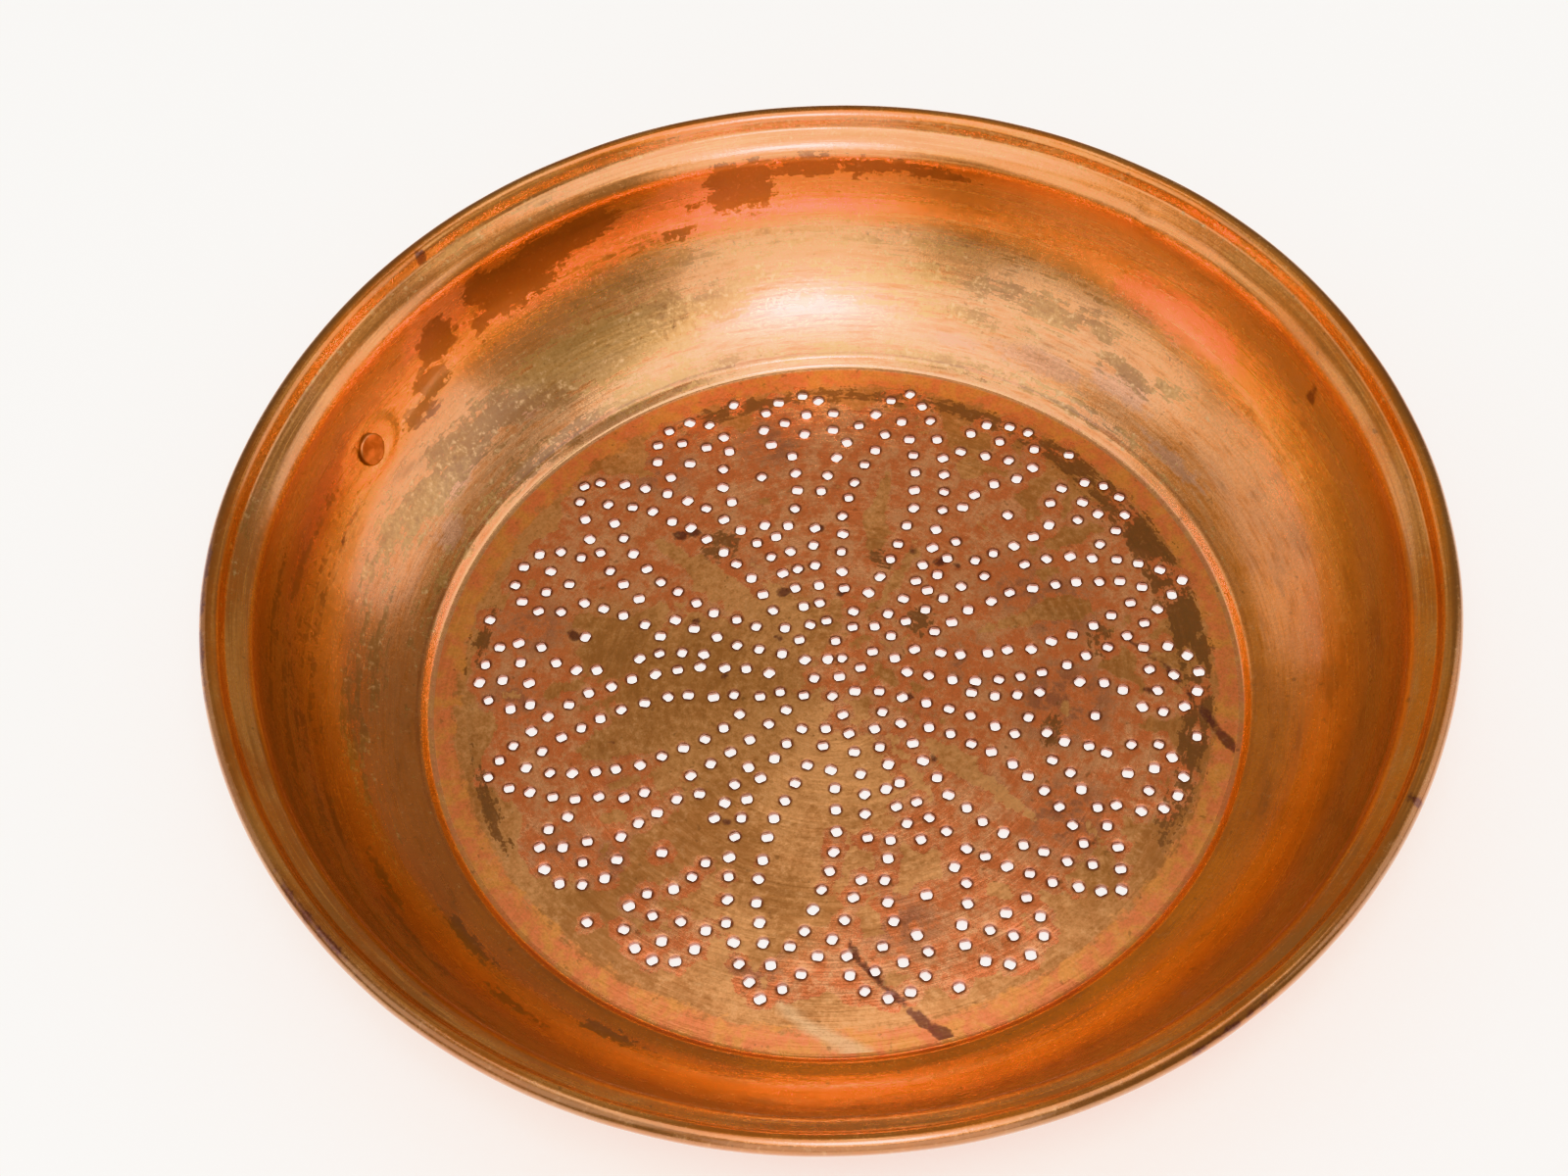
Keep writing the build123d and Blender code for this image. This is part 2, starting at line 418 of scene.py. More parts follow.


# ---------------------------------------------------------------- marks of use, and painted light and shade

# Every mark on the wall is an oval: bearing and half width in degrees, distance along the section from
# the middle of the floor and half height in millimetres. Along the section the step ends at 114, the wall
# at 175, the ledge at 183 and the roll's outside at 200.
BROWN_MARKS = [
    # Block of patina under the ledge at the far side, and its tail to the right
    (124.6, 2.6, 171, 5.0), (127.4, 2.2, 171, 5.0), (124.6, 2.6, 163.5, 5.0), (127.4, 2.2, 163.5, 5.0),
    (118, 5, 172, 3.4), (111, 5, 171.5, 3.0), (105, 4, 171, 2.4),
    # Patches that run down to the rivet
    (155, 4.6, 162, 8.0), (150, 4, 166, 6.5), (144.5, 4.2, 167.5, 5.2), (158.5, 2.2, 167, 5.0),
    (152, 3, 158, 3.0), (165.5, 2.8, 161, 6.5), (168.5, 2.6, 153, 4.6), (172, 2.6, 148, 3.0),
    (160, 1.2, 157, 3.6), (134, 1.3, 156, 1.6), (131.5, 0.8, 163, 1.0),
    # Low marks and streaks of the left wall
    (246, 4, 124, 2.4), (256, 3, 131, 1.6), (268, 4, 120, 2.0), (236, 3, 137, 2.0),
    (203, 6, 150, 0.8), (212, 7, 153, 0.8), (207, 5, 146, 0.6), (217, 8, 157, 0.8), (223, 8, 150, 0.6),
    (232, 7, 159, 0.7), (239, 6, 152, 0.7), (227, 5, 145, 0.6), (205, 5, 164, 1.4), (216, 4, 166, 1.6),
    (250, 7, 158, 0.7), (262, 6, 150, 0.5), (196, 6, 157, 0.9), (245, 4, 141, 1.2), (228, 3, 166, 1.5),
]
OLIVE_MARKS = [
    # Broad band on the lower wall, from the rivet to the far side
    (213, 10, 132, 2.6), (203, 5, 127, 2.0), (186, 6, 134, 4.0), (180, 7, 131, 5.5), (171, 7, 132, 6.5),
    (163, 6, 132, 7.0), (155, 7, 132, 8.5), (147, 7, 131, 10), (139, 6, 131, 9.5), (132, 5, 134, 5.5),
    (126, 5, 138, 2.2), (151, 28, 115.5, 2.6), (112, 24, 114.8, 1.8), (84, 9, 115.0, 1.4),
    # Thinner patches on the right of the far wall
    (112, 6, 137, 2.2), (104, 6, 139, 2.8), (96, 6, 138, 3.6), (88, 5, 137, 3.4), (82, 3.4, 138, 2.6),
    (76, 3.4, 131, 2.4), (100, 6, 129, 1.8), (116, 4, 131, 1.2), (70, 3, 134, 1.4),
    # Streaks of the upper wall
    (135, 7, 148, 1.5), (120, 8, 147.5, 0.9), (139, 2.5, 153, 0.9), (144, 2.0, 154.5, 1.0),
    (124, 4, 150.5, 0.7), (103, 5, 147, 0.6),
    # Streaks of the ledge and the roll
    (119, 8, 183, 2.0), (150, 7, 182, 1.4), (166, 5, 185, 1.4), (100, 8, 186, 1.2), (140, 6, 187, 1.0),
    (168, 5, 188, 1.0), (190, 6, 184, 0.9), (60, 8, 188, 0.8), (300, 10, 187, 0.8), (285, 22, 190.5, 1.1),
    (325, 12, 190, 1.0),
]
PINK_MARKS = [
    (174, 5, 128, 3.8), (160, 5, 127.5, 2.8), (181, 3, 119, 3.5), (148, 6, 126.5, 2.4),
    (136, 5, 127, 1.4),
    (129, 4, 128, 1.4), (86, 6, 122, 3.6), (75, 4, 126, 3.2), (98, 5, 121, 2.0), (62, 5, 119, 2.0),
    (148, 14, 160, 9.0), (133, 7, 163, 9.0), (164, 6, 167, 7.0), (120, 8, 158, 2.0), (72, 9, 153, 7.0),
]

# Dark purple-brown stains, as ovals of the same kind
WALL_STAINS = [
    (162.3, 0.45, 186, 2.6), (52.2, 0.5, 166.6, 2.4), (358.9, 0.5, 190, 2.2), (331, 3.0, 191.5, 0.9),
    (214, 5, 191.5, 0.8), (246, 4, 190.5, 0.7), (186.5, 1.8, 146.5, 0.35), (205, 2.5, 191, 0.7),
]

# Round areas of the floor, by bearing, radius and half size: where the olive patina comes close to the
# holes, where it is worn off between the holes too, and where the bare copper is wine-coloured
FLOOR_OLIVE = [
    (205, 36, 22), (232, 28, 22), (268, 44, 17), (284, 70, 15), (150, 24, 13), (190, 62, 13),
    (300, 30, 14), (90, 88, 5), (68, 97, 5), (118, 97, 5), (30, 95, 6), (345, 92, 6), (248, 96, 7),
]
FLOOR_BARE = [
    (168, 76, 22), (140, 70, 21), (122, 46, 15), (60, 46, 17), (30, 50, 20), (8, 66, 19), (342, 62, 17),
    (196, 84, 13), (218, 82, 12), (236, 84, 12), (318, 80, 13), (295, 84, 11), (100, 70, 14),
    (50, 84, 11),
    (80, 66, 14), (118, 84, 12),
]
FLOOR_WINE = [
    (47, 66, 9), (58, 60, 7), (20, 62, 12), (352, 74, 10), (310, 74, 7), (128, 84, 7), (150, 88, 6),
    (192, 86, 7), (208, 86, 6), (252, 78, 7), (242, 88, 6), (282, 86, 6), (36, 36, 6),
]

# Dark patina of the floor next to the step, and some between the holes, as ovals: bearing and half width
# in degrees, radius and half height in millimetres
FLOOR_BROWN = [
    (45, 30, 97.5, 4.6), (18, 14, 98, 3.6), (72, 12, 98.5, 3.4), (92, 9, 99.3, 2.4), (110, 10, 99.5, 2.0),
    (132, 8, 99, 2.2), (5, 8, 98, 2.8), (194, 5, 98.5, 1.6), (226, 6, 98.5, 1.6),
    (36, 3, 74, 3.0), (150, 5, 56, 4.5), (66, 8, 30, 3.5), (98, 4, 44, 2.6), (12, 4, 60, 2.4),
]

# Runs of dried liquor across the floor: bearing, radius and half width of the run at each of its points
FLOOR_RUNS = [
    ((36, 80, 0.3), (30, 88, 0.7), (22, 97, 0.8), (18, 102, 1.5), (13.5, 110.3, 1.3)),
    ((298, 75, 0.5), (300, 82, 0.8), (304, 91, 0.4), (308, 101, 1.3), (311, 108, 1.9)),
]
PALE_RUNS = [((288, 96, 1.0), (293, 102, 1.3), (298, 107, 2.4), (300, 110, 2.8))]

# Dark spots on the floor: bearing, radius and half size
FLOOR_SPOTS = [
    (156, 66.5, 2.2), (153, 64.5, 1.4), (90.2, 49.7, 1.5), (79.2, 49.5, 2.0), (74, 51, 1.2),
    (95, 62, 1.0), (15, 21, 1.0), (345, 36, 1.1), (330, 62, 1.2), (200, 30, 0.9), (176, 44, 1.0),
    (222, 62, 1.1), (160, 22, 0.9), (192, 74, 1.3), (203, 79, 1.0), (262, 50, 0.8), (140, 34, 1.2),
    (112, 30, 1.0), (130, 40, 1.1), (120, 52, 0.9), (24, 84, 1.1), (350, 84, 1.0), (308, 60, 0.9),
]


OUTSIDE = -20.0


def polar(bearing, radius):
    """Plan point, in millimetres, from a bearing in degrees and a radius."""
    a = math.radians(bearing)
    return np.array([radius * math.cos(a), radius * math.sin(a)])


def inside_ovals(bearing, radius, along, marks):
    """Millimetres inside the nearest oval of a list; negative outside them all."""
    depth = np.full(len(bearing), OUTSIDE)
    for centre, half_turn, middle, half_height in marks:
        half_width = np.radians(half_turn) * radius
        away = np.hypot(turn_between(bearing, centre) / half_turn, (along - middle) / half_height)
        depth = np.maximum(depth, (1 - away) * np.minimum(half_width, half_height))
    return depth


def inside_rounds(points, marks):
    """Millimetres inside the nearest round mark of a list on the floor; negative outside them all."""
    depth = np.full(len(points), OUTSIDE)
    for bearing, radius, half in marks:
        away = np.linalg.norm(points[:, :2] - polar(bearing, radius), axis=1)
        depth = np.maximum(depth, half - away)
    return depth


def inside_runs(points, runs):
    """Millimetres inside the nearest run; negative outside them all."""
    depth = np.full(len(points), OUTSIDE)
    for stops in runs:
        for (b0, r0, w0), (b1, r1, w1) in zip(stops, stops[1:]):
            a, b = polar(b0, r0), polar(b1, r1)
            line = b - a
            t = np.clip((points[:, :2] - a) @ line / (line @ line), 0, 1)
            away = np.linalg.norm(points[:, :2] - a - t[:, None] * line, axis=1)
            depth = np.maximum(depth, w0 + (w1 - w0) * t - away)
    return depth


def mark_wall(wall, bearing, radius, along, inner):
    """Layers for the wall's patina and stains, its painted highlight and shade, and its golden tone and
    painted reflection.
    """

    def glow(centre, spread, middle, half_height):
        """1 at a bearing and a distance along, fading softly round them."""
        turn = turn_between(bearing, centre) / spread
        return np.exp(-(turn**2 + ((along - middle) / half_height) ** 2))

    def facing(centre):
        """1 at a bearing, 0 at the opposite one."""
        return 0.5 + 0.5 * np.cos(bearing - math.radians(centre))

    layer(wall, "along", along * MM)
    for name, marks in (("brown", BROWN_MARKS), ("olive", OLIVE_MARKS), ("pink", PINK_MARKS)):
        depth = inside_ovals(bearing, radius, along, marks)
        layer(wall, name, depth + (1 - inner) * OUTSIDE)
    layer(wall, "stain", inside_ovals(bearing, radius, along, WALL_STAINS))
    layer(wall, "hole_gap", np.full(len(along), 99.0))
    # Deep red on the left of the wall and high by the rivet is painted shade: that side lies darker
    # because of how the light falls.
    layer(wall, "red", np.maximum(0.55 * facing(222) ** 3, glow(192, 17, 159, 10)))
    # Golden tone on the wall; at the far right it is a painted reflection, the golden streak of light
    # thrown there from across the bowl.
    far_right_reflection, by_rivet, near = glow(54, 26, 155, 13), glow(188, 15, 145, 9), glow(300, 60, 152, 22)
    layer(wall, "gold", 0.85 * far_right_reflection + 0.5 * by_rivet + 0.45 * near)
    # Pale on the lower far wall, where the key's highlight falls, and on the ledge, most on its left
    # side, is a painted highlight.
    far_side = facing(128) ** 1.5
    wear_and_highlight = np.maximum(0.6 * far_side**2, np.exp(-((turn_between(bearing, 190) / 12) ** 2)))
    pale = far_side * smoothstep(150, 132, along) + wear_and_highlight * smoothstep(173, 180, along)
    layer(wall, "pale", pale * inner)
    layer(wall, "dirt", 0.10 + 0.45 * far_side)


def mark_floor(plate, hole_gap, vertices, inner):
    """The same layers for the floor; dried liquor lies on its inner face only."""
    radius = np.hypot(vertices[:, 0], vertices[:, 1])
    bearing = np.arctan2(vertices[:, 1], vertices[:, 0])
    bare = inside_rounds(vertices, FLOOR_BARE)
    olive = inside_rounds(vertices, FLOOR_OLIVE)
    brown = inside_ovals(bearing, radius, radius, FLOOR_BROWN)
    stain = np.maximum(inside_runs(vertices, FLOOR_RUNS), inside_rounds(vertices, FLOOR_SPOTS))
    bare_reach = 3.7 + 3.6 * smoothstep(-5, 3, bare) - 2.4 * smoothstep(-6, 5, olive)
    layer(plate, "along", radius * MM)
    layer(plate, "brown", np.minimum(brown, hole_gap - 2.4))
    layer(plate, "olive", hole_gap - bare_reach)
    layer(plate, "pink", smoothstep(-8, 6, inside_rounds(vertices, FLOOR_WINE)))
    layer(plate, "stain", np.where(inner, stain, OUTSIDE))
    layer(plate, "hole_gap", hole_gap)
    layer(plate, "red", smoothstep(-6, 8, olive))
    layer(plate, "gold", np.zeros(len(radius)))
    layer(plate, "dirt", np.zeros(len(radius)))
    layer(plate, "pale", smoothstep(-1.0, 0.6, inside_runs(vertices, PALE_RUNS)) * inner)


# ---------------------------------------------------------------- materials

class Nodes:
    """Short way to write a node material."""

    def __init__(self, name):
        self.material = bpy.data.materials.new(name)
        self.material.use_nodes = True
        self.tree = self.material.node_tree
        self.shader = self.tree.nodes["Principled BSDF"]

    def add(self, kind, inputs=(), **settings):
        """A node with its settings and inputs; an input is a value or another node's output."""
        node = self.tree.nodes.new(kind)
        for key, value in settings.items():
            setattr(node, key, value)
        for key, value in dict(inputs).items():
            self.set(node.inputs[key], value)
        return node

    def set(self, socket, value):
        """Link another node's output to the socket, or give it a value."""
        if isinstance(value, bpy.types.NodeSocket):
            self.tree.links.new(value, socket)
        else:
            socket.default_value = value

    def math(self, operation, a, b=0.0, c=0.0):
        """Result of one operation."""
        return self.add("ShaderNodeMath", {0: a, 1: b, 2: c}, operation=operation).outputs[0]

    def product(self, *factors):
        """All the factors multiplied."""
        result = factors[0]
        for factor in factors[1:]:
            result = self.math("MULTIPLY", result, factor)
        return result

    def layer(self, name):
        """Value of one of the mesh's layers."""
        return self.add("ShaderNodeAttribute", attribute_name=name).outputs["Fac"]

    def noise(self, vector, scale, detail, roughness, distortion=0.0):
        """Noise between 0 and 1, mostly between 0.3 and 0.7."""
        inputs = {"Vector": vector, "Scale": scale, "Detail": detail, "Roughness": roughness,
                  "Distortion": distortion}
        return self.add("ShaderNodeTexNoise", inputs).outputs["Fac"]

    def ramp(self, value, low, high, start=0.0, end=1.0):
        """Smooth change from start to end while the value goes from low to high."""
        inputs = {"Value": value, "From Min": low, "From Max": high, "To Min": start, "To Max": end}
        return self.add("ShaderNodeMapRange", inputs, interpolation_type="SMOOTHSTEP").outputs[0]

    def mix(self, factor, a, b):
        """Colour b laid over colour a."""
        node = self.add("ShaderNodeMix", data_type="RGBA")
        self.set(node.inputs["Factor"], factor)
        for socket, value in ((node.inputs[6], a), (node.inputs[7], b)):
            if isinstance(value, tuple):
                value = (*value, 1.0)
            self.set(socket, value)
        return node.outputs[2]

    def shades(self, value, low, high, dark, light):
        """From the dark colour to the light one while the value goes from low to high."""
        return self.mix(self.ramp(value, low, high), dark, light)


# Zones of the section for the copper: distance along it, in metres, where each one starts and is full
FLOOR_ENDS = (0.1100, 0.1110)
FLOOR_BORDER = (0.1012, 0.1034)
STEP_CREASE = 0.1137
UPPER_WALL = (0.130, 0.155)
UPPER_WALL_ENDS = (0.166, 0.180)
LEDGE = (0.169, 0.181)
# Outer face and underside of the roll, darkened as painted shade
ROLL_SHADE = (0.1880, 0.1905)
ROLL_SHADE_ENDS = (0.200, 0.204)

CLEAN = (0.86, 0.245, 0.036)
CLEAN_DEEP = (0.66, 0.175, 0.03)
UPPER = (0.62, 0.39, 0.18)
PALE = (0.82, 0.51, 0.27)
PINK = (0.7, 0.36, 0.21)
# Deep red of the painted shade on the left of the wall
DEEP_RED_SHADE = (0.36, 0.115, 0.05)
OLIVE = (0.5, 0.295, 0.11)
OLIVE_DARK = (0.27, 0.138, 0.058)
BROWN = (0.23, 0.115, 0.056)
# Golden tone, at the far right of the wall a painted reflection
GOLD = (0.56, 0.36, 0.14)
LEDGE_GOLD = (0.8, 0.375, 0.13)
LEDGE_BROWN = (0.5, 0.215, 0.075)
SALMON = (0.9, 0.27, 0.115)
SALMON_LIGHT = (0.98, 0.44, 0.21)
BORDER = (0.88, 0.36, 0.11)
WINE = (0.4, 0.135, 0.09)
FLOOR_PATINA = (0.46, 0.2, 0.075)
FLOOR_PATINA_LIGHT = (0.76, 0.37, 0.15)
# Dark of the painted shade round each hole
HOLE_SHADE = (0.22, 0.075, 0.055)
SCUFF = (0.34, 0.14, 0.045)
UMBER = (0.23, 0.095, 0.045)
STAIN = (0.13, 0.046, 0.046)


class CopperNodes(Nodes):
    """Node writer for the sheet copper, with the noises that all its zones share."""

    def __init__(self, name):
        super().__init__(name)
        self.place = self.add("ShaderNodeTexCoord").outputs["Object"]
        self.along = self.layer("along")
        self.broad = self.noise(self.place, 24, 3, 0.5)
        self.blotch = self.noise(self.place, 170, 5, 0.62, 0.3)
        self.grain = self.noise(self.place, 520, 5, 0.72)
        self.speck = self.noise(self.place, 1400, 3, 0.7)
        self.rings = self.noise(self.spun_place(2.4, 1100), 1.0, 5, 0.6)
        self.scuffs = self.noise(self.spun_place(10.0, 620), 1.0, 6, 0.70)
        self.drawn = self.noise(self.spun_place(5.0, 130), 1.0, 4, 0.6)
        self.on_floor = self.ramp(self.along, *FLOOR_ENDS, 1.0, 0.0)
        self.on_wall = self.math("SUBTRACT", 1.0, self.on_floor)

    def spun_place(self, reach, along_scale):
        """Coordinates stretched round the bowl: short across the section, long along the rim."""
        split = self.add("ShaderNodeSeparateXYZ", {0: self.place})
        x, y = split.outputs[0], split.outputs[1]
        radius = self.math("SQRT", self.math("ADD", self.product(x, x), self.product(y, y)))
        radius = self.math("MAXIMUM", radius, 0.004)
        return self.add("ShaderNodeCombineXYZ", {
            0: self.product(self.math("DIVIDE", x, radius), reach),
            1: self.product(self.math("DIVIDE", y, radius), reach),
            2: self.product(self.along, along_scale),
        }).outputs[0]

    def centred(self, value, amount, start):
        """start, moved up and down by a noise of the given amount."""
        return self.math("MULTIPLY_ADD", self.math("SUBTRACT", value, 0.5), amount, start)

    def torn(self, start, by_blotch, by_scuff, by_grain):
        """start, moved up and down by three noises, to tear an outline."""
        torn = self.centred(self.scuffs, by_scuff, self.centred(self.blotch, by_blotch, start))
        return self.centred(self.grain, by_grain, torn)

    def ragged(self, depth, by_blotch, by_scuff, by_grain, soft, strength=1.0):
        """Cover of a mark with a torn outline, from the depth in millimetres inside it."""
        return self.ramp(self.torn(depth, by_blotch, by_scuff, by_grain), -soft, soft, 0.0, strength)


def wall_color(n):
    """Colour of the step, wall, ledge and roll, and the cover of the olive patina on them."""
    color = n.shades(n.centred(n.drawn, 0.5, n.broad), 0.36, 0.66, CLEAN_DEEP, CLEAN)
    upper = n.product(n.ramp(n.along, *UPPER_WALL), n.ramp(n.along, *UPPER_WALL_ENDS, 1, 0))
    color = n.mix(upper, color, UPPER)
    # Golden tone; at the far right it is a painted reflection.
    color = n.mix(n.product(n.layer("gold"), n.on_wall), color, GOLD)
    # Painted highlight: pale copper where highlights fall on the lower far wall and on the ledge.
    color = n.mix(n.product(n.layer("pale"), n.ramp(n.scuffs, 0.36, 0.56, 0.45, 0.85)), color, PALE)
    # Painted shade: deep red on the left of the wall.
    color = n.mix(n.product(n.layer("red"), n.on_wall, 0.9), color, DEEP_RED_SHADE)
    pink = n.ragged(n.layer("pink"), 9.0, 8.0, 4.0, 1.2, 0.90)
    color = n.mix(n.product(pink, n.on_wall), color, PINK)
    color = n.mix(n.ramp(n.scuffs, 0.46, 0.28, 0.0, 0.50), color, SCUFF)
    color = n.mix(n.ramp(n.drawn, 0.44, 0.28, 0.0, 0.35), color, BROWN)
    olive = n.product(n.ragged(n.layer("olive"), 10.0, 22.0, 12.0, 0.7, 0.78), n.on_wall)
    patina = n.shades(n.centred(n.grain, 0.8, n.broad), 0.36, 0.64, OLIVE_DARK, OLIVE)
    color = n.mix(olive, color, patina)
    color = n.mix(n.product(olive, n.ramp(n.grain, 0.57, 0.66, 0.0, 0.75)), color, PALE)
    ledge = n.product(n.ramp(n.along, *LEDGE), n.ramp(n.drawn, 0.42, 0.60, 0.70, 0.15))
    streaks = n.shades(n.centred(n.rings, 1.2, n.broad), 0.38, 0.60, LEDGE_BROWN, LEDGE_GOLD)
    color = n.mix(ledge, color, streaks)
    # Painted shade: the outer face and underside of the roll darkened to brown.
    edge = n.product(n.ramp(n.along, *ROLL_SHADE), n.ramp(n.along, *ROLL_SHADE_ENDS, 1, 0), 0.75)
    return n.mix(edge, color, BROWN), olive


def floor_color(n):
    """Colour of the floor, and the cover of its patina, which leaves the copper at the holes bare."""
    bare = n.shades(n.centred(n.grain, 0.7, n.blotch), 0.36, 0.66, SALMON, SALMON_LIGHT)
    bare = n.mix(n.product(n.layer("red"), 0.70), bare, FLOOR_PATINA_LIGHT)
    wine = n.ramp(n.centred(n.grain, 0.5, n.blotch), 0.42, 0.60)
    bare = n.mix(n.product(n.layer("pink"), wine, 0.75), bare, WINE)
    aged = n.shades(n.centred(n.grain, 0.6, n.broad), 0.36, 0.64, FLOOR_PATINA, FLOOR_PATINA_LIGHT)
    aged = n.mix(n.ramp(n.scuffs, 0.45, 0.62, 0.0, 0.4), aged, FLOOR_PATINA_LIGHT)
    cover = n.ragged(n.layer("olive"), 4.5, 3.0, 2.4, 0.35)
    fringe = n.ragged(n.math("ADD", n.layer("olive"), 0.7), 4.5, 3.0, 2.4, 0.8)
    fringe = n.product(fringe, n.ramp(n.noise(n.place, 60, 2, 0.5), 0.46, 0.66, 0.0, 0.32))
    color = n.mix(fringe, bare, WINE)
    color = n.mix(n.product(cover, 0.90), color, aged)
    border = n.ramp(n.torn(n.along, 0.009, 0.007, 0.005), *FLOOR_BORDER, 0.0, 0.92)
    color = n.mix(border, color, n.shades(n.blotch, 0.40, 0.62, SALMON, BORDER))
    # Painted shade: a dark ring round each hole, where the dimple turns down into it.
    return n.mix(n.ramp(n.layer("hole_gap"), 1.55, 2.3, 0.90, 0.0), color, HOLE_SHADE), cover


def with_dirt(n, color):
    """The colour with dirt in the crease of the step, stains, pits, specks and grain."""
    off_crease = n.math("ABSOLUTE", n.math("SUBTRACT", n.along, STEP_CREASE))
    off_crease = n.ramp(n.centred(n.scuffs, 0.0022, off_crease), 0.0001, 0.0008)
    crease = n.product(n.math("SUBTRACT", 1.0, off_crease), n.layer("dirt"), 0.8)
    color = n.mix(crease, color, STAIN)
    color = n.mix(n.ragged(n.layer("stain"), 5.0, 1.0, 2.0, 0.5, 0.85), color, STAIN)
    color = n.mix(n.ramp(n.noise(n.place, 420, 2, 0.5), 0.68, 0.76, 0.0, 0.5), color, BROWN)
    color = n.mix(n.ramp(n.speck, 0.30, 0.62, 0.30, 0.0), color, SCUFF)
    return n.mix(n.ramp(n.grain, 0.52, 0.76, 0.0, 0.22), color, PALE)


def aged_copper(name, anisotropy):
    """Sheet copper: brushed in rings, with sharp ragged patches of patina, bare copper and stains."""
    n = CopperNodes(name)
    on_wall, olive = wall_color(n)
    on_floor, cover = floor_color(n)
    color = n.mix(n.on_floor, on_wall, on_floor)
    brown = n.ragged(n.layer("brown"), 6.0, 9.0, 9.0, 0.30, 0.88)
    color = n.mix(brown, color, n.shades(n.grain, 0.40, 0.62, BROWN, UMBER))
    color = n.mix(n.product(n.layer("pale"), n.on_floor, 0.8), color, PALE)
    dull = n.math("MAXIMUM", n.math("MAXIMUM", olive, brown), n.product(n.on_floor, cover))
    rough = n.centred(n.rings, 0.25, n.math("MULTIPLY_ADD", dull, 0.10, 0.25))
    height = n.math("MULTIPLY_ADD", n.rings, 0.6, n.product(n.grain, 0.5))
    bump = n.add("ShaderNodeBump", {"Height": height, "Strength": 0.20, "Distance": 0.0005})
    tangent = n.add("ShaderNodeTangent", direction_type="RADIAL", axis="Z")
    for socket, value in {
        "Base Color": with_dirt(n, color),
        "Roughness": n.centred(n.grain, 0.15, rough),
        "Metallic": 1.0,
        "Coat Weight": 0.80,
        "Coat Roughness": 0.12,
        "Anisotropic": anisotropy,
        "Anisotropic Rotation": 0.25,
        "Tangent": tangent.outputs[0],
        "Normal": bump.outputs[0],
    }.items():
        n.set(n.shader.inputs[socket], value)
    return n.material


def forged(name, dark, light, rough):
    """Small forged or drawn metal: blotched between a dark tone and a light one, rubbed bright by
    handling, finely dented.
    """
    n = Nodes(name)
    place = n.add("ShaderNodeTexCoord").outputs["Object"]
    blotch = n.noise(place, 260, 5, 0.6)
    speck = n.noise(place, 1600, 4, 0.65)
    n.set(n.shader.inputs["Base Color"], n.shades(blotch, 0.36, 0.66, dark, light))
    rough = n.math("MULTIPLY_ADD", n.math("SUBTRACT", speck, 0.5), 0.3, rough)
    n.set(n.shader.inputs["Roughness"], rough)
    n.set(n.shader.inputs["Metallic"], 1.0)
    height = n.math("MULTIPLY_ADD", blotch, 0.8, n.product(speck, 0.3))
    bump = n.add("ShaderNodeBump", {"Height": height, "Strength": 0.25, "Distance": 0.0005})
    n.set(n.shader.inputs["Normal"], bump.outputs[0])
    return n.material


# ---------------------------------------------------------------- hanger

# Sizes in millimetres; the rivet's are measured out of the bowl from the wall's inner face
PLATE_HALF_LENGTH = 11.0
PLATE_HALF_WIDTH = 6.5
PLATE_BORE = 1.9
HEAD_RADIUS = 4.5
HEAD_SEAT = -0.25
HEAD_TOP = -1.45
SHANK_RADIUS = 1.8
EYE_STANDOFF = 6.4
EYE_HOLE = 2.1
EYE_TUBE = 1.1

# Half section of the plate: part of the way from its middle to its edge, and height above the wall
PLATE_SECTION = [
    (0.55, 0.0), (0.985, 0.0), (1.0, 0.25), (1.0, 0.75), (0.975, 1.05),
    (0.93, 1.18), (0.86, 1.2), (0.7, 1.17), (0.5, 1.16), (0.3, 1.2),
]


def rivet_seat():
    """Centre and radius of the wall's arc, and the angle below its centre at which the rivet sits."""
    centre, radius = wall_curve()
    return centre, radius, math.asin((centre[1] - RIVET_HEIGHT) / radius)


def rivet_frame():
    """Matrix from the wall's inner face: Z runs out of the bowl along the rivet, X along the rim."""
    centre, radius, drop = rivet_seat()
    origin = Vector((-(centre[0] + radius * math.cos(drop)), 0, RIVET_HEIGHT))
    z = Vector((-math.cos(drop), 0, -math.sin(drop)))
    x = Vector((0, 1, 0))
    y = z.cross(x)
    turn = Matrix((x, y, z)).transposed().to_4x4()
    return Matrix.Translation(origin) @ turn


def spun(profile, steps, wobble):
    """Vertices and faces of an (r, z) profile turned about Z; r = 0 at both ends closes it."""
    vertices = []
    for step in range(steps):
        a = 2 * math.pi * step / steps
        swell = 1 + wobble * math.cos(2 * a + 0.7) + wobble * 0.6 * math.cos(5 * a)
        vertices += [(r * swell * math.cos(a), r * swell * math.sin(a), z) for r, z in profile[1:-1]]
    count = len(profile) - 2
    first = len(vertices)
    vertices += [(0, 0, profile[0][1]), (0, 0, profile[-1][1])]
    faces = []
    for step in range(steps):
        here = step * count
        there = (step + 1) % steps * count
        for i in range(count - 1):
            faces.append((here + i, there + i, there + i + 1, here + i + 1))
        faces.append((here, first, there))
        faces.append((here + count - 1, there + count - 1, first + 1))
    return vertices, faces


def tube(path, normal, section_radius, steps):
    """Vertices and faces of a tube round a closed path that lies in the plane with the given normal."""
    vertices = []
    faces = []
    count = len(path)
    for i, point in enumerate(path):
        ahead = Vector(path[(i + 1) % count]) - Vector(path[i - 1])
        ahead.normalize()
        side = normal.cross(ahead).normalized()
        radius = section_radius(i)
        for step in range(steps):
            a = 2 * math.pi * step / steps
            vertices.append(tuple(Vector(point) + radius * (math.cos(a) * side + math.sin(a) * normal)))
    for i in range(count):
        here, there = i * steps, (i + 1) % count * steps
        for step in range(steps):
            after = (step + 1) % steps
            faces.append((here + step, here + after, there + after, there + step))
    return vertices, faces


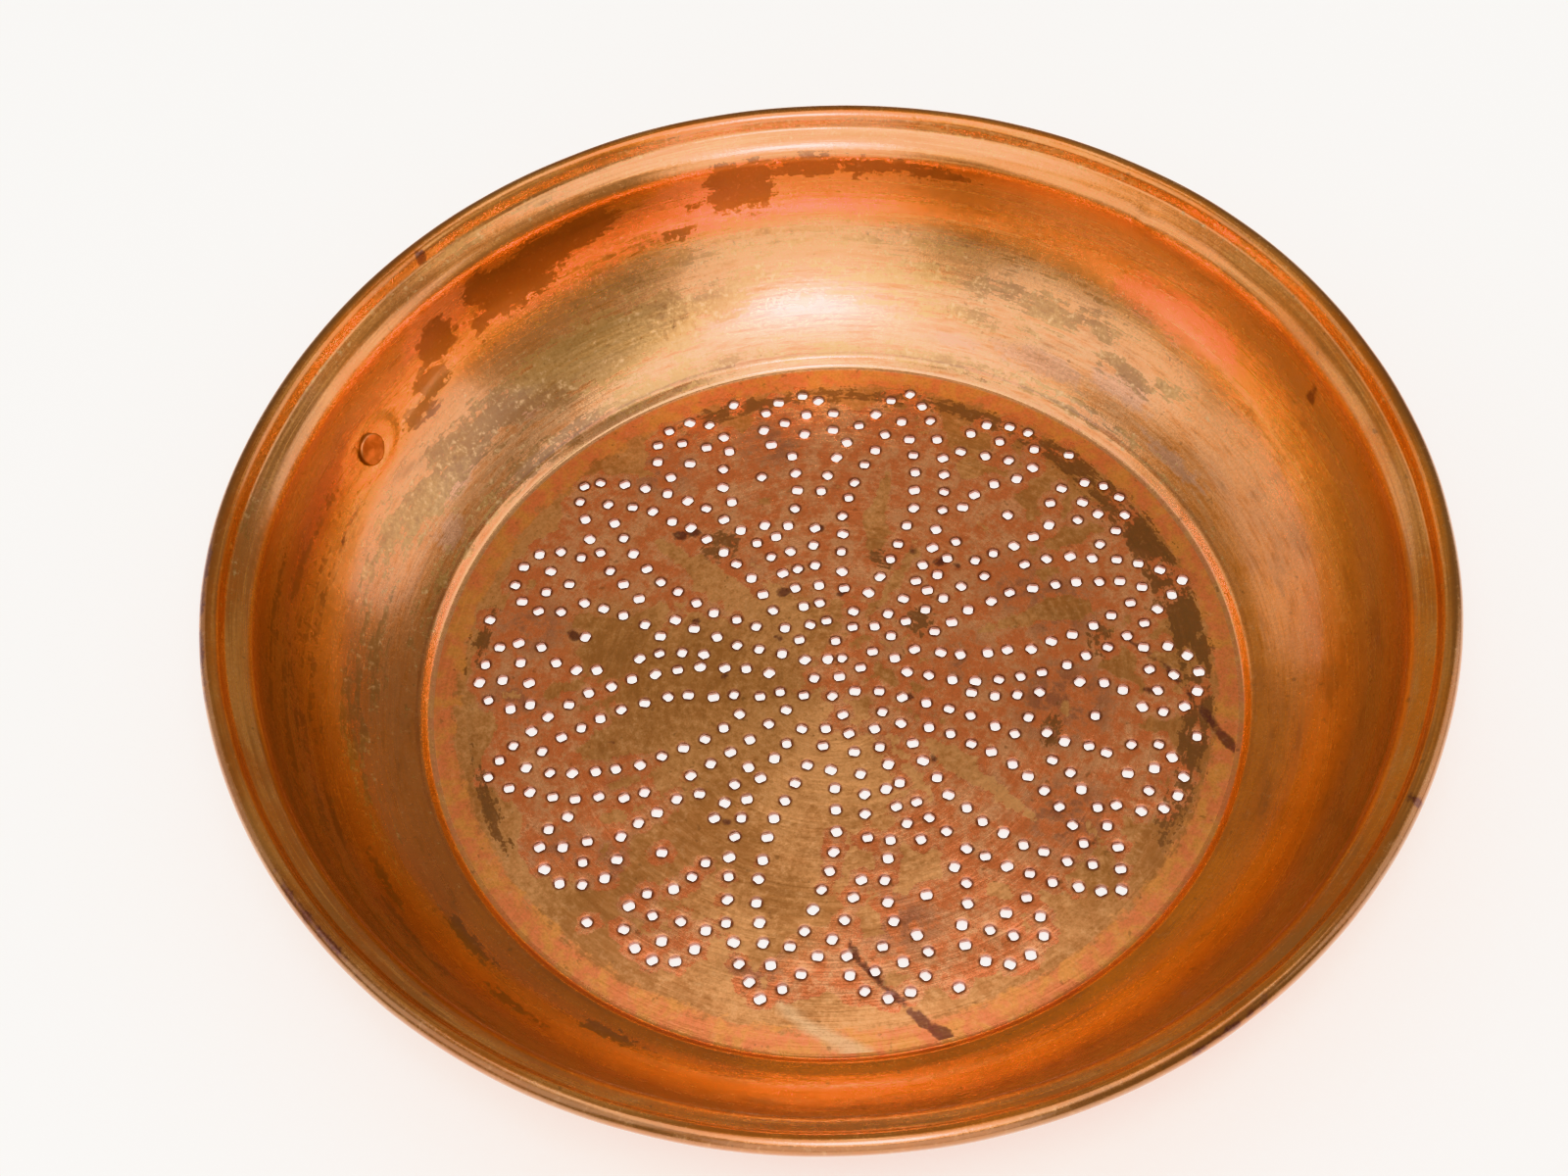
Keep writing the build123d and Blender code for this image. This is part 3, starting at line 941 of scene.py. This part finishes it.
def make_rivet():
    """Flat-headed rivet whose outer end is bent round into an eye."""
    # The head's face is slightly domed; from its rim the profile runs down the shank to the eye
    face = [(0, 0.15), (1.6, 0.13), (3.0, 0.12), (3.6, 0.05), (4.0, 0), (4.3, 0.06), (4.48, 0.25)]
    face = [(r, HEAD_TOP + z) for r, z in [*face, (HEAD_RADIUS, 0.5)]]
    face += [(HEAD_RADIUS, HEAD_SEAT - 0.1), (4.42, HEAD_SEAT), (SHANK_RADIUS, HEAD_SEAT)]
    stem_end = EYE_STANDOFF - EYE_HOLE - EYE_TUBE / 2
    face += [(SHANK_RADIUS, 2.3), (1.5, 3.0), (1.2, stem_end - 0.2), (0.9, stem_end), (0, stem_end)]
    vertices, faces = spun(face, 48, 0.012)
    ring = arc((0, 0), EYE_HOLE + EYE_TUBE, 0, 2 * math.pi, 48)[:-1]
    path = [(0, v, EYE_STANDOFF + w) for v, w in ring]
    eye_vertices, eye_faces = tube(path, Vector((1, 0, 0)), lambda i: EYE_TUBE, 18)
    faces += [tuple(i + len(vertices) for i in f) for f in eye_faces]
    vertices += eye_vertices
    place = rivet_frame()
    rivet = new_mesh("eye_rivet_forged", [place @ Vector(v) for v in vertices], faces)
    smooth(rivet, 40)
    return rivet


def make_plate():
    """Oval plate with rounded edges, bent to the outside of the wall."""
    centre, radius, drop = rivet_seat()
    steps = 72
    vertices = []
    for step in range(steps):
        a = 2 * math.pi * step / steps
        bore = (PLATE_BORE * math.cos(a), PLATE_BORE * math.sin(a))
        edge = 1 + 0.015 * math.cos(3 * a + 1) + 0.01 * math.cos(7 * a)
        outline = [(*bore, 0.0)]
        for scale, lift in PLATE_SECTION:
            size = scale * (edge if scale > 0.5 else 1)
            u = PLATE_HALF_LENGTH * size * math.cos(a)
            v = PLATE_HALF_WIDTH * size * math.sin(a)
            outline.append((u, v, lift))
        outline += [(*bore, 1.1), (*bore, 0.9)]
        for u, v, lift in outline:
            reach = radius + SHEET + lift
            angle = -drop - v / reach
            out = centre[0] + reach * math.cos(angle)
            bearing = math.pi - u / out
            height = centre[1] + reach * math.sin(angle)
            vertices.append((out * math.cos(bearing), out * math.sin(bearing), height))
    plate = new_mesh("hanger_plate_bent", vertices, ring_faces(steps, len(outline)))
    smooth(plate, 40)
    return plate


def make_ring():
    """Ring bent from round wire, with its butt joint low on one side."""
    low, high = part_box("hanging_ring")
    middle = (low + high) / 2 / MM
    wire = (high.x - low.x) / MM / 2
    radius = (high.z - low.z) / MM / 2 - wire
    steps = 144
    path = []
    for step in range(steps):
        a = math.pi / 2 + 2 * math.pi * step / steps
        path.append((middle.x, middle.y + radius * math.cos(a), middle.z + radius * math.sin(a)))
    joint = round(0.38 * steps)

    def section_radius(i):
        """The wire's radius at a point of the path: a notch at the joint, and slight wear."""
        notch = 0.30 if i == joint else 0.06 if abs(i - joint) == 1 else 0.0
        wear_and_highlight = 0.025 * (1 + math.cos(4 * math.pi * i / steps))
        return wire - notch - wear_and_highlight

    vertices, faces = tube(path, Vector((1, 0, 0)), section_radius, 24)
    ring = new_mesh("hanging_ring_wire", vertices, faces)
    smooth(ring, 60)
    return ring


# ---------------------------------------------------------------- staging

STAGE_HALF_SIZE = 3000.0
STAGE_DROP = 0.1


def stage_floor():
    """Plain pale floor, a hair under the bowl."""
    corners = [(-1, -1), (1, -1), (1, 1), (-1, 1)]
    corners = [(x * STAGE_HALF_SIZE, y * STAGE_HALF_SIZE, -STAGE_DROP) for x, y in corners]
    floor = new_mesh("stage_floor", corners, [(0, 1, 2, 3)])
    n = Nodes("pale_cloth")
    n.set(n.shader.inputs["Base Color"], (0.94, 0.93, 0.91, 1))
    n.set(n.shader.inputs["Roughness"], 0.9)
    n.set(n.shader.inputs["Emission Color"], (1.0, 0.99, 0.97, 1))
    n.set(n.shader.inputs["Emission Strength"], 0.60)
    floor.data.materials.append(n.material)


def direction(bearing, elevation):
    """Unit vector that points to a bearing and an elevation, both in radians."""
    flat = math.cos(elevation)
    return Vector((flat * math.cos(bearing), flat * math.sin(bearing), math.sin(elevation)))


def camera_axes():
    """Camera position, and its right, up and forward directions."""
    toward = direction(CAMERA_BEARING, CAMERA_ELEVATION)
    position = Vector((0, 0, LIP_CENTRE[1] * MM)) + toward * CAMERA_DISTANCE
    forward = -toward
    right = forward.cross(Vector((0, 0, 1))).normalized()
    up = right.cross(forward)
    pan = Quaternion(up, CAMERA_PAN)
    forward, right = pan @ forward, pan @ right
    tilt = Quaternion(right, CAMERA_TILT)
    forward, up = tilt @ forward, tilt @ up
    roll = Quaternion(forward, CAMERA_ROLL)
    return position, roll @ right, roll @ up, forward


def add_camera():
    """Camera at the photograph's angle."""
    position, right, up, forward = camera_axes()
    data = bpy.data.cameras.new("camera")
    data.lens = CAMERA_LENS
    data.sensor_width = 36.0
    camera = bpy.data.objects.new("camera", data)
    bpy.context.scene.collection.objects.link(camera)
    turn = Matrix((right, up, -forward)).transposed().to_4x4()
    camera.matrix_world = Matrix.Translation(position) @ turn
    bpy.context.scene.camera = camera


def soft_light(name, position, target, size, power):
    """Square white soft box aimed at a point."""
    data = bpy.data.lights.new(name, "AREA")
    data.size = size
    data.energy = power
    light = bpy.data.objects.new(name, data)
    light.location = position
    light.rotation_euler = (Vector(target) - Vector(position)).to_track_quat("-Z", "Y").to_euler()
    bpy.context.scene.collection.objects.link(light)


ROOM_LIGHT = 0.44

# Small box just above the camera: how far above it, its size and its power
KEY_RISE = 0.08
KEY_SIZE = 0.14
KEY_POWER = 3.2

# Large soft boxes round the table: bearing and elevation in degrees, and power in watts
BOX_DISTANCE = 1.6
BOX_SIZE = 1.2
SOFT_BOXES = {
    "left_box": (190, 25, 2.5),
    "near_left_box": (240, 38, 4.5),
    "right_box": (30, 28, 5.0),
    "front_box": (-60, 25, 6.0),
    "top_box": (-60, 85, 7.5),
}


def add_lights():
    """A small soft box above the camera, large ones round the table, and faint light from all round."""
    position, _, up, _ = camera_axes()
    soft_light("key", position + KEY_RISE * up, (0, 0, 0.02), KEY_SIZE, KEY_POWER)
    for name, (bearing, elevation, power) in SOFT_BOXES.items():
        away = direction(math.radians(bearing), math.radians(elevation))
        soft_light(name, BOX_DISTANCE * away, (0, 0, 0.03), BOX_SIZE, power)
    world = bpy.data.worlds.new("soft_studio")
    world.use_nodes = True
    background = world.node_tree.nodes["Background"]
    background.inputs["Color"].default_value = (1.0, 0.97, 0.94, 1)
    background.inputs["Strength"].default_value = ROOM_LIGHT
    bpy.context.scene.world = world
    bpy.context.scene.view_settings.view_transform = "Khronos PBR Neutral"


# ---------------------------------------------------------------- assembly

stage_floor()
add_camera()
add_lights()

wall_copper = aged_copper("aged_copper_wall", 0.45)
floor_copper = aged_copper("aged_copper_floor", 0.3)
rivet_copper = forged("oxidised_copper", (0.34, 0.13, 0.06), (0.66, 0.28, 0.13), 0.36)
ring_brass = forged("aged_brass", (0.30, 0.18, 0.07), (0.68, 0.46, 0.20), 0.32)
wire_iron = forged("iron_wire", (0.06, 0.05, 0.05), (0.16, 0.14, 0.13), 0.55)

wall, wall_bearing, wall_radius, wall_along, wall_inner = make_wall()
mark_wall(wall, wall_bearing, wall_radius, wall_along, wall_inner)
wall.data.materials.append(wall_copper)
smooth(wall, 40)
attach(wall, "bowl")
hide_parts("bowl_wall")

centres = hole_centres(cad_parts["bowl_floor"])
plate, hole_gap, floor_vertices, floor_inner = make_floor(centres)
mark_floor(plate, hole_gap, floor_vertices, floor_inner)
plate.data.materials.append(floor_copper)
smooth(plate, 40)
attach(plate, "bowl")
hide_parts("bowl_floor")

for piece, node, body, slot_name, material in (
    (make_rivet(), "eye_rivet", "bowl", "copper_rivet", rivet_copper),
    (make_plate(), "hanger_plate", "bowl", "copper_rivet", rivet_copper),
    (make_ring(), "hanging_ring", "ring", "brass_ring", ring_brass),
):
    piece.data.materials.append(material)
    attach(piece, body)
    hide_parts(node)

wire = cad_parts["rim_wire"]
wire.data.materials.clear()
wire.data.materials.append(wire_iron)
